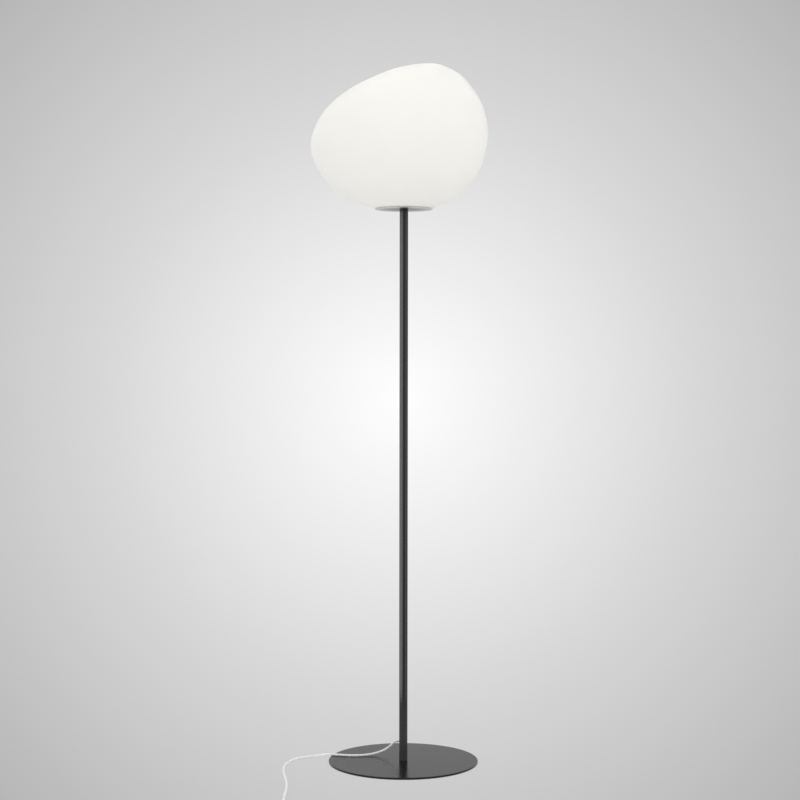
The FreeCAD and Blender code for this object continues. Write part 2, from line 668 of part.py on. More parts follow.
def shade():
    """Blown glass shade: even wall, and a round mouth ground flat."""
    outside = closed_pebble(shade_rows(0.0))
    inside = closed_pebble(shade_rows(GLASS_WALL))
    glass = outside.cut(inside)
    mouth = cylinder(MOUTH_BORE, SHADE_BOTTOM - GLASS_WALL, SHADE_BOTTOM + 2 * GLASS_WALL)
    save("glass_shade", glass.cut(mouth))


# ---------------------------------------------------------------- lampholder
def lampholder():
    """Riser on the dish and the screw-cap lampholder on top of it."""
    hole = NIPPLE_DIAMETER + 2 * THREAD_FIT
    save("riser_sleeve", ring(RISER_DIAMETER, hole, RISER_BOTTOM, RISER_TOP))

    half = HOLDER_DIAMETER / 2
    wall = HOLDER_WALL
    top = HOLDER_BODY_BOTTOM
    neck = RISER_DIAMETER / 2
    thread = NIPPLE_DIAMETER / 2
    save("lampholder_cap", turned([
        (thread, RISER_TOP), (neck, RISER_TOP), (half - wall, RISER_TOP + HOLDER_CAP_HEIGHT / 3),
        (half, RISER_TOP + HOLDER_CAP_HEIGHT / 2), (half, top), (half - wall, top),
        (half - wall, RISER_TOP + HOLDER_CAP_HEIGHT / 2 + wall / 2),
        (neck, NIPPLE_TOP), (thread, NIPPLE_TOP)]))

    rim = HOLDER_TOP
    save("lampholder_body", turned([
        (half - wall, top), (half, top), (half, rim - HOLDER_RIM), (half + wall / 2, rim - HOLDER_RIM),
        (half + wall / 2, rim), (SHELL_BORE / 2 + SHELL_THICK + SLIDE_FIT, rim),
        (SHELL_BORE / 2 + SHELL_THICK + SLIDE_FIT, rim - wall), (half - wall, rim - wall)]))

    bore = SHELL_BORE / 2 + SHELL_THICK
    outer = half - wall - THREAD_FIT
    insert_rim = HOLDER_TOP - HOLDER_WALL - SEAT_GAP
    save("lampholder_insert", turned([
        (0, top), (outer, top), (outer, insert_rim), (bore, insert_rim), (bore, INSERT_TOP), (0, INSERT_TOP)]))
    save("lampholder_screw_shell", ring(SHELL_BORE + 2 * SHELL_THICK, SHELL_BORE, INSERT_TOP, insert_rim))
    save("lampholder_contact", cylinder(CONTACT_DIAMETER, INSERT_TOP, CONTACT_TOP))

    blocks = []
    for side in (-1, 1):
        place = side * TERMINAL_SPACING / 2
        block = Part.makeBox(TERMINAL_SIZE, TERMINAL_SIZE, TERMINAL_HEIGHT,
                             Vector(place - TERMINAL_SIZE / 2, -TERMINAL_SIZE / 2, top - TERMINAL_HEIGHT))
        screw = Part.makeCylinder(TERMINAL_SCREW / 2, TERMINAL_SCREW / 2,
                                  Vector(place, -TERMINAL_SIZE / 2, top - TERMINAL_HEIGHT / 2),
                                  Vector(0, -1, 0))
        blocks.append(block.fuse(screw))
    save("lampholder_terminals", Part.makeCompound(blocks))


def bulb():
    """Round opal lamp with its plastic collar, screw cap, insulator and tip contact."""
    tip_top = TIP_BOTTOM + BULB_TIP_HEIGHT
    save("bulb_tip", cylinder(BULB_TIP_DIAMETER, TIP_BOTTOM, tip_top))

    cap = BULB_CAP_DIAMETER / 2
    base = cap - BULB_CAP_CHAMFER
    save("bulb_insulator", turned([
        (0, tip_top), (BULB_TIP_DIAMETER / 2, tip_top), (base, BULB_CAP_BOTTOM), (0, BULB_CAP_BOTTOM)]))
    inner = cap - BULB_CAP_WALL
    save("bulb_cap", turned([
        (0, BULB_CAP_BOTTOM), (base, BULB_CAP_BOTTOM), (cap, BULB_CAP_BOTTOM + BULB_CAP_CHAMFER),
        (cap, COLLAR_BOTTOM), (inner, COLLAR_BOTTOM), (inner, BULB_CAP_BOTTOM + BULB_CAP_CHAMFER),
        (0, BULB_CAP_BOTTOM + BULB_CAP_WALL)]))

    neck = BULB_NECK / 2
    collar_bore = neck - 2 * BULB_WALL
    collar_root = inner - BULB_WALL
    save("bulb_collar", turned([
        (inner, COLLAR_BOTTOM), (cap, COLLAR_BOTTOM), (neck, COLLAR_TOP),
        (collar_bore, COLLAR_TOP), (collar_root, COLLAR_BOTTOM)]))
    taper = (collar_bore - collar_root) / BULB_COLLAR_HEIGHT
    board = collar_bore - taper * LED_BOARD_THICK - THREAD_FIT
    save("bulb_led_board", cylinder(2 * board, COLLAR_TOP - LED_BOARD_THICK, COLLAR_TOP))

    middle = Vector(0, 0, BULB_CENTRE)
    ball = Part.makeSphere(BULB_DIAMETER / 2, middle).cut(Part.makeSphere(BULB_DIAMETER / 2 - BULB_WALL, middle))
    save("bulb_globe", ball.cut(cylinder(BULB_DIAMETER, BULB_CENTRE - BULB_DIAMETER, COLLAR_TOP)))


# ---------------------------------------------------------------- foot switch
def switch_screw_places():
    """The four case screws, in from the case's corners."""
    inset = SWITCH_WALL + CASE_BOSS_CLEAR + CASE_BOSS_DIAMETER / 2
    across = SWITCH_WIDTH / 2 - inset
    along_x = SWITCH_LENGTH / 2 - SWITCH_CORNER + SWITCH_WALL - CASE_BOSS_DIAMETER / 2
    return [(SWITCH_MIDDLE + side * along_x, CORD_FRONT + end * across)
            for side in (-1, 1) for end in (-1, 1)]


def switch_case():
    """Base tray and cover, which part at the cord's middle height."""
    corner = SWITCH_CORNER
    wall = SWITCH_WALL
    inner = (SWITCH_LENGTH - 2 * wall, SWITCH_WIDTH - 2 * wall, corner - wall)
    base = rounded_box(SWITCH_LENGTH, SWITCH_WIDTH, corner, SWITCH_FOOT_HEIGHT, SWITCH_SPLIT,
                       SWITCH_MIDDLE, CORD_FRONT)
    base = base.cut(rounded_box(*inner, SWITCH_FLOOR, SWITCH_SPLIT, SWITCH_MIDDLE, CORD_FRONT))
    cover = rounded_box(SWITCH_LENGTH, SWITCH_WIDTH, corner, SWITCH_SPLIT, SWITCH_TOP,
                        SWITCH_MIDDLE, CORD_FRONT)
    cover = cover.makeFillet(SWITCH_TOP_ROUND, edges_at(cover, SWITCH_TOP))
    cover = cover.cut(rounded_box(*inner, SWITCH_SPLIT, SWITCH_TOP - wall, SWITCH_MIDDLE, CORD_FRONT))
    cover = cover.cut(cylinder(BUTTON_DIAMETER + 2 * SLIDE_FIT, SWITCH_SPLIT, SWITCH_TOP,
                               SWITCH_MIDDLE, CORD_FRONT))
    screws = []
    for x, y in switch_screw_places():
        head_top = SWITCH_FOOT_HEIGHT + CASE_SCREW_HEAD_HEIGHT
        base = base.fuse(cylinder(CASE_BOSS_DIAMETER, SWITCH_FOOT_HEIGHT, SWITCH_SPLIT, x, y))
        base = base.cut(cylinder(CASE_SCREW_HEAD + 2 * THREAD_FIT, SWITCH_FOOT_HEIGHT, head_top, x, y))
        base = base.cut(cylinder(CASE_SCREW_DIAMETER, SWITCH_FOOT_HEIGHT, SWITCH_SPLIT, x, y))
        boss = cylinder(CASE_BOSS_DIAMETER, SWITCH_SPLIT, SWITCH_TOP - wall, x, y)
        cover = cover.fuse(boss)
        cover = cover.cut(cylinder(CASE_SCREW_DIAMETER, SWITCH_SPLIT, head_top + CASE_SCREW_LENGTH, x, y))
        head = cylinder(CASE_SCREW_HEAD, SWITCH_FOOT_HEIGHT, head_top, x, y)
        screws.append(head.fuse(cylinder(CASE_SCREW_DIAMETER, head_top, head_top + CASE_SCREW_LENGTH, x, y)))
    for side in (-1, 1):
        entry = Part.makeCylinder(BOOT_ROOT_DIAMETER / 2, 2 * wall,
                                  Vector(SWITCH_MIDDLE + side * (SWITCH_LENGTH / 2 - wall) - wall,
                                         CORD_FRONT, SWITCH_SPLIT), Vector(1, 0, 0))
        base = base.cut(entry)
        cover = cover.cut(entry)
    save("switch_base", base)
    save("switch_cover", cover)
    save("switch_screws", Part.makeCompound(screws))

    feet = []
    for side in (-1, 1):
        for end in (-1, 1):
            feet.append(cylinder(SWITCH_FOOT_DIAMETER, 0, SWITCH_FOOT_HEIGHT,
                                 SWITCH_MIDDLE + side * SWITCH_FOOT_OFFSET,
                                 CORD_FRONT + end * SWITCH_FOOT_OFFSET))
    save("switch_feet", Part.makeCompound(feet))


def boot(tip, toward):
    """Moulded sleeve that tapers along the cord, from its tip towards the case."""
    return Part.makeCone(BOOT_TIP_DIAMETER / 2, BOOT_ROOT_DIAMETER / 2, BOOT_LENGTH, tip, toward)


def switch_works():
    """Boots, contact block, its leads, the return spring and the button."""
    root = 2 * SWITCH_WALL
    boots = []
    for tip_x, toward in ((SWITCH_BOOT_LEFT, Vector(1, 0, 0)), (SWITCH_BOOT_RIGHT, Vector(-1, 0, 0))):
        tip = Vector(tip_x, CORD_FRONT, SWITCH_SPLIT)
        inner = Part.makeCylinder(BOOT_ROOT_DIAMETER / 2, root, tip + toward * BOOT_LENGTH, toward)
        boots.append(boot(tip, toward).fuse(inner).removeSplitter())
    save("switch_boots", Part.makeCompound(boots))

    block = Part.makeBox(BLOCK_LENGTH, BLOCK_WIDTH, BLOCK_TOP - SWITCH_FLOOR,
                         Vector(SWITCH_MIDDLE - BLOCK_LENGTH / 2, CORD_FRONT - BLOCK_WIDTH / 2, SWITCH_FLOOR))
    save("switch_block", block)

    gap = SWITCH_LENGTH / 2 - root - BLOCK_LENGTH / 2
    leads = []
    for side in (-1, 1):
        for place in (-1, 1):
            start = Vector(SWITCH_MIDDLE + side * BLOCK_LENGTH / 2,
                           CORD_FRONT + place * LEAD_SPREAD / 2, SWITCH_SPLIT - LEAD_DIAMETER)
            leads.append(Part.makeCylinder(LEAD_DIAMETER / 2, gap, start, Vector(side, 0, 0)))
    save("switch_leads", Part.makeCompound(leads))

    flange = BUTTON_DIAMETER + 2 * BUTTON_FLANGE_WIDTH
    button = cylinder(BUTTON_DIAMETER, FLANGE_BOTTOM, SWITCH_TOP + BUTTON_PROUD, SWITCH_MIDDLE, CORD_FRONT)
    button = button.makeFillet(BUTTON_FLANGE, edges_at(button, SWITCH_TOP + BUTTON_PROUD))
    button = button.fuse(cylinder(flange, FLANGE_BOTTOM, FLANGE_TOP, SWITCH_MIDDLE, CORD_FRONT))
    save("switch_button", button.removeSplitter())

    low = BLOCK_TOP + SPRING_WIRE / 2 + THREAD_FIT
    rise = (FLANGE_BOTTOM - SPRING_WIRE / 2 - THREAD_FIT - low) / SPRING_TURNS
    middle = SPRING_DIAMETER / 2 - SPRING_WIRE / 2

    def place(turn):
        angle = 2 * math.pi * turn
        return Vector(SWITCH_MIDDLE + middle * math.cos(angle), CORD_FRONT + middle * math.sin(angle),
                      low + rise * turn)

    def heading(turn):
        angle = 2 * math.pi * turn
        around_it = 2 * math.pi * middle
        return Vector(-math.sin(angle) * around_it, math.cos(angle) * around_it, rise).normalize()

    save("switch_spring", tube(winding(place, heading, SPRING_TURNS), SPRING_WIRE))


# ---------------------------------------------------------------- coil and plug
def coil_place(turn):
    """Middle of the coiled cord after so many turns: in on the floor, out on top."""
    half = COIL_TURNS / 2
    angle = 2 * math.pi * turn - math.pi / 2
    radius = COIL_START_RADIUS - COIL_PITCH * min(turn, COIL_TURNS - turn)
    climb = min(max((turn - half) * 2 + 0.5, 0), 1)
    height = COIL_LOW + COIL_PITCH * climb ** 2 * (3 - 2 * climb)
    return Vector(COIL_MIDDLE + radius * math.cos(angle), COIL_CENTRE_Y + radius * math.sin(angle), height)


def coil_heading(turn):
    """Direction of the coiled cord there, level and square at both ends."""
    half = COIL_TURNS / 2
    angle = 2 * math.pi * turn - math.pi / 2
    radius = COIL_START_RADIUS - COIL_PITCH * min(turn, COIL_TURNS - turn)
    inward = 0.0
    if 0 < turn < half:
        inward = COIL_PITCH
    if half < turn < COIL_TURNS:
        inward = -COIL_PITCH
    climb = min(max((turn - half) * 2 + 0.5, 0), 1)
    rise = COIL_PITCH * 12 * climb * (1 - climb)
    sweep = 2 * math.pi * radius
    return Vector(-inward * math.cos(angle) - sweep * math.sin(angle),
                  -inward * math.sin(angle) + sweep * math.cos(angle), rise).normalize()


def least_gap(edges, diameter):
    """Least gap between stretches of a wound cord that lie over three diameters apart."""
    points = []
    marks = []
    travelled = 0.0
    for edge in edges:
        count = max(2, int(edge.Length / 2))
        for step in range(count):
            share = edge.FirstParameter + (edge.LastParameter - edge.FirstParameter) * step / count
            points.append(edge.valueAt(share))
            marks.append(travelled + edge.Length * step / count)
        travelled += edge.Length
    least = 1e9
    for number, point in enumerate(points):
        for other in range(number + 1, len(points)):
            if marks[other] - marks[number] > 3 * diameter:
                least = min(least, point.distanceToPoint(points[other]))
    return least - diameter


def coil():
    """The spare cord wound in two layers, and the band that ties it."""
    edges = [Part.LineSegment(Vector(COIL_START, CORD_FRONT, COIL_LOW), coil_place(0)).toShape()]
    edges += winding(coil_place, coil_heading, COIL_TURNS)
    edges.append(Part.LineSegment(coil_place(COIL_TURNS), Vector(COIL_END, CORD_FRONT, COIL_HIGH)).toShape())
    solid = tube(edges, CORD_DIAMETER)
    length = sum(edge.Length for edge in edges)
    print("cord_coil", "length %.0f mm, least gap %.2f mm" % (length, least_gap(edges, CORD_DIAMETER)),
          "volume share %.4f" % (solid.Volume / (math.pi * CORD_RADIUS ** 2 * length)))
    save("cord_coil", solid)

    inner = COIL_START_RADIUS - COIL_PITCH * COIL_TURNS / 2 - CORD_RADIUS
    near = math.sqrt(inner ** 2 - (TIE_WIDTH / 2) ** 2) - SEAT_GAP
    far = COIL_START_RADIUS + CORD_RADIUS + SEAT_GAP
    top = COIL_HIGH + CORD_RADIUS + THREAD_FIT
    bottom = COIL_LOW - CORD_RADIUS
    edge_y = COIL_CENTRE_Y - TIE_WIDTH / 2
    hole = Part.makeBox(far - near, TIE_WIDTH, top - bottom, Vector(COIL_MIDDLE + near, edge_y, bottom))
    band = Part.makeBox(far - near + 2 * TIE_THICK, TIE_WIDTH, top - bottom + 2 * TIE_THICK,
                        Vector(COIL_MIDDLE + near - TIE_THICK, edge_y, bottom - TIE_THICK))
    save("cord_tie", band.cut(hole))


def plug():
    """Flat two-pin plug with its moulded boot."""
    save("plug_boot", boot(Vector(PLUG_BOOT_START, PLUG_LINE, PLUG_AXIS), Vector(1, 0, 0)))

    front = PLUG_REAR + PLUG_LENGTH
    shoulder = PLUG_REAR + PLUG_SHOULDER
    outline = [(PLUG_REAR, -PLUG_REAR_WIDTH / 2), (shoulder, -PLUG_WIDTH / 2), (front, -PLUG_WIDTH / 2),
               (front, PLUG_WIDTH / 2), (shoulder, PLUG_WIDTH / 2), (PLUG_REAR, PLUG_REAR_WIDTH / 2)]
    corners = [Vector(x, PLUG_LINE + y, 0) for x, y in outline]
    body = Part.Face(Part.makePolygon(corners + corners[:1])).extrude(Vector(0, 0, PLUG_THICK))
    upright = [edge for edge in body.Edges if edge.BoundBox.ZLength > PLUG_THICK / 2]
    body = body.makeFillet(PLUG_ROUND, upright)
    body = body.makeFillet(PLUG_ROUND, edges_at(body, PLUG_THICK) + edges_at(body, 0))
    pins = []
    sleeves = []
    for side in (-1, 1):
        place = PLUG_LINE + side * PLUG_PIN_SPACING / 2
        root = Vector(front - PLUG_PIN_ROOT, place, PLUG_AXIS)
        neck = Vector(front, place, PLUG_AXIS)
        sleeve_end = Vector(front + PLUG_SLEEVE_LENGTH, place, PLUG_AXIS)
        core = Part.makeCylinder(PLUG_PIN_CORE / 2, PLUG_PIN_ROOT + PLUG_SLEEVE_LENGTH, root, Vector(1, 0, 0))
        body = body.cut(core)
        tip_length = PLUG_PIN_LENGTH - PLUG_SLEEVE_LENGTH
        tip_bar = Part.makeCylinder(PLUG_PIN_DIAMETER / 2, tip_length, sleeve_end, Vector(1, 0, 0))
        tip_bar = tip_bar.makeFillet(PLUG_PIN_DIAMETER / 4, [edge for edge in tip_bar.Edges
                                     if edge.BoundBox.XMin > sleeve_end.x + tip_length / 2])
        pins.append(core.fuse(tip_bar))
        outside = Part.makeCylinder(PLUG_PIN_DIAMETER / 2 - THREAD_FIT, PLUG_SLEEVE_LENGTH, neck, Vector(1, 0, 0))
        sleeves.append(outside.cut(core))
    save("plug_body", body)
    save("plug_pins", Part.makeCompound(pins))
    save("plug_pin_sleeves", Part.makeCompound(sleeves))


# ---------------------------------------------------------------- build
os.makedirs("parts", exist_ok=True)
foot()
pole()
cable_in_pole(bushing())
dish()
clips()
shade()
lampholder()
bulb()
switch_case()
switch_works()
save("cord_run", cord_stretch("cord_run", CORD_ROUTE, CORD_DIAMETER))
save("cord_link", cord_stretch("cord_link", LINK_ROUTE, CORD_DIAMETER))
save("cord_tail", cord_stretch("cord_tail", TAIL_ROUTE, CORD_DIAMETER))
coil()
plug()
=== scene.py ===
import math

import bmesh
import bpy
from mathutils import Matrix, Vector


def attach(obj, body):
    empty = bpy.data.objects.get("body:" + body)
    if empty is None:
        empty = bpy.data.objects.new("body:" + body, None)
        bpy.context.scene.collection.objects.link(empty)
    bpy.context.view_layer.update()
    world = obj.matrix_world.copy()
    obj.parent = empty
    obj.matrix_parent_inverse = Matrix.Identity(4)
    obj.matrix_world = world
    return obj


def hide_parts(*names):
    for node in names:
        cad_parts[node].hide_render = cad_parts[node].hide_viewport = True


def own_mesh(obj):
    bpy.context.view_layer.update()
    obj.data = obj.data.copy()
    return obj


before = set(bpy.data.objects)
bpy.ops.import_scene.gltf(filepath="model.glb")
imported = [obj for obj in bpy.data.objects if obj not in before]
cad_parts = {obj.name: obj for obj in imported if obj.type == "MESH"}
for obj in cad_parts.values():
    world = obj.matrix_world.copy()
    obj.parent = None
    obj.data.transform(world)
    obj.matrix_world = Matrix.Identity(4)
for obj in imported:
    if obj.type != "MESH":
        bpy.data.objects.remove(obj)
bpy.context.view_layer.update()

# Globe floor lamp, standing on the floor at the origin.  Metres, +Z up, -Y towards
# the viewer.  Each section holds one piece or group of like pieces.


# ---------------------------------------------------------------- foot felt
# Black pressed felt, cut round and glued under the foot plate so that it does not
# scratch the floor.  Only its cut edge shows.
noise_low, noise_high = 0.3, 0.7        # the span in which nearly all of a noise lies


def shader_of(made):
    """The shader that a finish ends in."""
    return made.node_tree.nodes["Principled BSDF"]


def finish(name, colour, roughness, metallic=0.0, **sockets):
    """A finish with its shader's plain values, which its nodes then vary."""
    made = bpy.data.materials.new(name)
    made.use_nodes = True
    shader = shader_of(made)
    shader.inputs["Base Color"].default_value = (*colour, 1)
    shader.inputs["Roughness"].default_value = roughness
    shader.inputs["Metallic"].default_value = metallic
    for socket, value in sockets.items():
        shader.inputs[socket.replace("_", " ")].default_value = value
    return made


def node(made, kind, values=(), **options):
    """Adds a node to a finish, and links or sets its inputs."""
    new = made.node_tree.nodes.new("ShaderNode" + kind)
    for option, value in options.items():
        setattr(new, option, value)
    for socket, value in dict(values).items():
        if isinstance(value, bpy.types.NodeSocket):
            made.node_tree.links.new(value, new.inputs[socket])
        else:
            new.inputs[socket].default_value = value
    return new


def feed(made, output, socket):
    """Lets a node's output drive one socket of the shader."""
    made.node_tree.links.new(output, shader_of(made).inputs[socket])


def grain(made, scale, detail=3.0, stretch=(1, 1, 1)):
    """Noise that lies in the piece itself, so many grains to the metre."""
    place = node(made, "TexCoord").outputs["Object"]
    spread = node(made, "Mapping", {"Vector": place, "Scale": stretch}).outputs["Vector"]
    values = {"Vector": spread, "Scale": scale, "Detail": detail}
    return node(made, "TexNoise", values).outputs["Fac"]


def tint(made, fac, dark, light, low=noise_low, high=noise_high):
    """Lets the colour run between two tones."""
    tones = node(made, "ValToRGB", {"Fac": fac})
    tones.color_ramp.elements[0].position = low
    tones.color_ramp.elements[0].color = (*dark, 1)
    tones.color_ramp.elements[1].position = high
    tones.color_ramp.elements[1].color = (*light, 1)
    feed(made, tones.outputs["Color"], "Base Color")


def relief(made, height, depth, strength=1.0):
    """Raises the surface by a height that nodes give, at most so many metres deep."""
    bump = node(made, "Bump", {"Height": height, "Distance": depth, "Strength": strength})
    feed(made, bump.outputs["Normal"], "Normal")


def dress(made, *names):
    """Puts a finish on pieces of the frame."""
    for name in names:
        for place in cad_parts[name].material_slots:
            place.material = made


felt = finish("felt", (0.02, 0.02, 0.021), 0.95, Sheen_Weight=0.4, Sheen_Roughness=0.6)
fibres = grain(felt, 2600, detail=6, stretch=(1, 1, 0.4))
tint(felt, fibres, (0.012, 0.012, 0.013), (0.038, 0.038, 0.04))
relief(felt, fibres, 0.0004)
dress(felt, "floor_felt")


# ---------------------------------------------------------------- foot plate and pole
# Round plate cut from 5 mm steel and a drawn steel tube, in one satin near-black paint,
# a shade deeper on the plate, with painted light making it paler low on the pole.  A
# screw from below holds them together.
def gloss(made, fac, smooth, rough):
    """Lets the roughness run between two values."""
    spread = node(made, "MapRange", {"Value": fac, "From Min": noise_low, "From Max": noise_high,
                                     "To Min": smooth, "To Max": rough})
    feed(made, spread.outputs["Result"], "Roughness")


def black_paint(name, tone, smooth, rough):
    """Fine orange peel, and faint clouds in the colour and the sheen."""
    def shade(level):
        """A near-black of this level, with a touch of blue."""
        return level, level, 1.05 * level

    made = finish(name, shade(tone), (smooth + rough) / 2, Specular_IOR_Level=0.44)
    tint(made, grain(made, 14, detail=4), shade(0.75 * tone), shade(1.25 * tone))
    gloss(made, grain(made, 55, detail=5), smooth, rough)
    relief(made, grain(made, 900, detail=2), 0.000005, strength=0.3)
    return made


plate_paint = black_paint("plate_paint", 0.0008, 0.19, 0.215)
dress(plate_paint, "base_plate")

# Painted light: the pole's paint is lightened towards its foot, over its lowest 19 cm.
foot_light_height = 0.19
foot_light_tone = (0.038, 0.038, 0.039, 1)
pole_paint = black_paint("pole_paint", 0.0075, 0.2, 0.235)
on_pole = node(pole_paint, "TexCoord").outputs["Object"]
up_pole = node(pole_paint, "SeparateXYZ", {"Vector": on_pole}).outputs["Z"]
foot_light = node(pole_paint, "MapRange", {"Value": up_pole, "From Min": 0.0, "From Max": foot_light_height,
                                       "To Min": 1.0, "To Max": 0.0}).outputs["Result"]
paint_clouds = shader_of(pole_paint).inputs["Base Color"].links[0].from_socket
pole_with_foot_light = node(pole_paint, "MixRGB", {0: foot_light, 1: paint_clouds, 2: foot_light_tone}, blend_type="ADD")
feed(pole_paint, pole_with_foot_light.outputs["Color"], "Base Color")
dress(pole_paint, "pole_tube")

zinc = finish("zinc_steel", (0.55, 0.55, 0.56), 0.35, metallic=1.0)
tint(zinc, grain(zinc, 320, detail=5), (0.46, 0.46, 0.48), (0.64, 0.63, 0.62))
gloss(zinc, grain(zinc, 1400), 0.25, 0.5)
relief(zinc, grain(zinc, 2400, detail=2), 0.00003)
dress(zinc, "base_screw", "base_locating_pin", "pole_foot_slug", "pole_head_bush",
      "threaded_nipple", "dish_washer", "dish_nut", "clip_screws")


# ---------------------------------------------------------------- mains cord
# Milky see-through round PVC flex, 6 mm thick and 2.7 m long outside the pole: one
# stretch from the pole to the foot switch, the other wound up and on to the plug.
def flex(name, route, diameter):
    """A stretch of cord: one smooth line through given points, with a round section."""
    line = bpy.data.curves.new(name, "CURVE")
    line.dimensions = "3D"
    line.resolution_u = 16
    line.bevel_depth = diameter / 2
    line.bevel_resolution = 6
    line.use_fill_caps = True
    run = line.splines.new("NURBS")
    run.points.add(len(route) - 1)
    for point, place in zip(run.points, route):
        point.co = (*place, 1)
    run.order_u = 3
    run.use_endpoint_u = True
    run.use_smooth = True
    made = bpy.data.objects.new(name, line)
    bpy.context.collection.objects.link(made)
    return made


pvc = finish("milky_pvc", (0.79, 0.795, 0.79), 0.4, Subsurface_Weight=0.9,
             Subsurface_Scale=0.008, Subsurface_Radius=(1.0, 1.0, 1.0))
tint(pvc, grain(pvc, 60, detail=4), (0.76, 0.765, 0.76), (0.82, 0.825, 0.82))
gloss(pvc, grain(pvc, 300), 0.34, 0.46)
relief(pvc, grain(pvc, 700, detail=2), 0.00001, strength=0.3)
dress(pvc, "pole_cable", "cord_bushing")

cord_diameter = 0.006
run_route = [
    (-0.0150, 0.0260, 0.0498), (-0.0198, 0.0342, 0.0467), (-0.0265, 0.0419, 0.0405),
    (-0.0350, 0.0474, 0.0308), (-0.0490, 0.0500, 0.0202), (-0.0660, 0.0490, 0.0139),
    (-0.0860, 0.0445, 0.0096), (-0.1120, 0.0345, 0.0091), (-0.1400, 0.0330, 0.0091),
    (-0.1670, 0.0395, 0.0091), (-0.1970, 0.0475, 0.0095), (-0.2230, 0.0510, 0.0056),
    (-0.2470, 0.0480, 0.0032), (-0.2690, 0.0370, 0.0031), (-0.2880, 0.0150, 0.0031),
    (-0.3020, -0.0180, 0.0031), (-0.3090, -0.0620, 0.0031), (-0.3070, -0.1130, 0.0031),
    (-0.2990, -0.1680, 0.0031), (-0.2910, -0.2260, 0.0031), (-0.2870, -0.2870, 0.0031),
    (-0.2880, -0.3500, 0.0031), (-0.2870, -0.4120, 0.0031), (-0.2780, -0.4660, 0.0031),
    (-0.2590, -0.5090, 0.0032), (-0.2300, -0.5370, 0.0046), (-0.1980, -0.5500, 0.0092),
    (-0.1650, -0.5500, 0.0092),
]
cord_to_switch = flex("cord_to_switch", run_route, cord_diameter)
cord_to_switch.data.materials.append(pvc)
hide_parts("cord_run")
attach(cord_to_switch, "stand")

# The coil winds inwards on the floor, climbs over the half turn in its middle, and winds
# outwards again on top.
link_route = [
    (-0.0450, -0.5500, 0.0092), (-0.0300, -0.5500, 0.0092), (-0.0120, -0.5530, 0.0065),
    (0.0060, -0.5500, 0.0038), (0.0210, -0.5500, 0.0038),
]
coil_turns, turn_points = 7, 24
coil_middle = (0.027, -0.50245)
coil_reach, coil_height = 0.04755, 0.0038
turn_pitch, climb_turns = 0.0066, 0.5
coil_route = []
for point in range(coil_turns * turn_points + 1):
    turn = point / turn_points
    angle = 2 * math.pi * turn - math.pi / 2
    reach = coil_reach - turn_pitch * min(turn, coil_turns - turn)
    climb = min(max((turn - coil_turns / 2) / climb_turns + 0.5, 0), 1)
    coil_route.append((coil_middle[0] + reach * math.cos(angle),
                       coil_middle[1] + reach * math.sin(angle),
                       coil_height + turn_pitch * climb ** 2 * (3 - 2 * climb)))
tail_route = [
    (0.0330, -0.5500, 0.0104), (0.0510, -0.5500, 0.0104), (0.0710, -0.5540, 0.0090),
    (0.0910, -0.5580, 0.0070), (0.1090, -0.5580, 0.0070),
]
cord_to_plug = flex("cord_to_plug", link_route + coil_route + tail_route, cord_diameter)
cord_to_plug.data.materials.append(pvc)
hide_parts("cord_link", "cord_coil", "cord_tail")
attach(cord_to_plug, "stand")


# ---------------------------------------------------------------- foot switch, plug and tie
# Satin white mouldings on the cord: a switch case whose round button stands on a coil
# spring of steel wire, a flat two-pin plug, ribbed boots that let the cord bend, and the
# band round the coil.
def moulded(name, dark, light, spark):
    """Satin moulded plastic: spark-eroded texture and faint flow marks."""
    made = finish(name, light, 0.4)
    tint(made, grain(made, 35, detail=5), dark, light)
    gloss(made, grain(made, 420), 0.34, 0.5)
    relief(made, grain(made, spark), 0.00006)
    return made


white_plastic = moulded("white_plastic", (0.74, 0.74, 0.70), (0.80, 0.80, 0.765), 1800)
dress(white_plastic, "switch_base", "switch_cover", "plug_body", "cord_tie")
button_plastic = moulded("button_plastic", (0.62, 0.62, 0.59), (0.68, 0.68, 0.65), 1500)
dress(button_plastic, "switch_button")
black_plastic = moulded("black_plastic", (0.018, 0.018, 0.018), (0.035, 0.034, 0.033), 1500)
dress(black_plastic, "switch_block", "plug_pin_sleeves")


def turned(made, outline, place, steps=64):
    """Adds a closed turned solid to a mesh; its outline gives (radius, height) at an angle."""
    rows = []
    for step in range(steps):
        angle = 2 * math.pi * step / steps
        row = []
        for radius, height in outline(angle):
            corner = Vector((radius * math.cos(angle), radius * math.sin(angle), height))
            row.append((radius, made.verts.new(place @ corner)))
        rows.append(row)
    for row, after in zip(rows, rows[1:] + rows[:1]):
        for point, (radius, corner) in enumerate(row):
            near = (point + 1) % len(row)
            if radius > 0 or row[near][0] > 0:
                made.faces.new((corner, after[point][1], after[near][1], row[near][1]))


def piece_of(name, made, surface, body, slot, *nodes):
    """Makes a piece of a mesh that stands for nodes of the frame and rides a body."""
    bmesh.ops.remove_doubles(made, verts=made.verts, dist=1e-6)
    bmesh.ops.recalc_face_normals(made, faces=made.faces)
    mesh = bpy.data.meshes.new(name)
    made.to_mesh(mesh)
    made.free()
    mesh.materials.append(surface)
    mesh.shade_smooth()
    mesh.set_sharp_from_angle(angle=math.radians(35))
    piece = bpy.data.objects.new(name, mesh)
    bpy.context.collection.objects.link(piece)
    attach(piece, body)
    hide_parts(*nodes)
    return piece


boot_length, boot_round = 0.020, 0.0003
boot_tip, boot_foot = 0.0038, 0.0050        # radii at the cord's end and at the case
grooves, groove_pitch, groove_depth = 5, 0.0030, 0.0006
groove_mouth, groove_edge = 0.0015, 0.0003


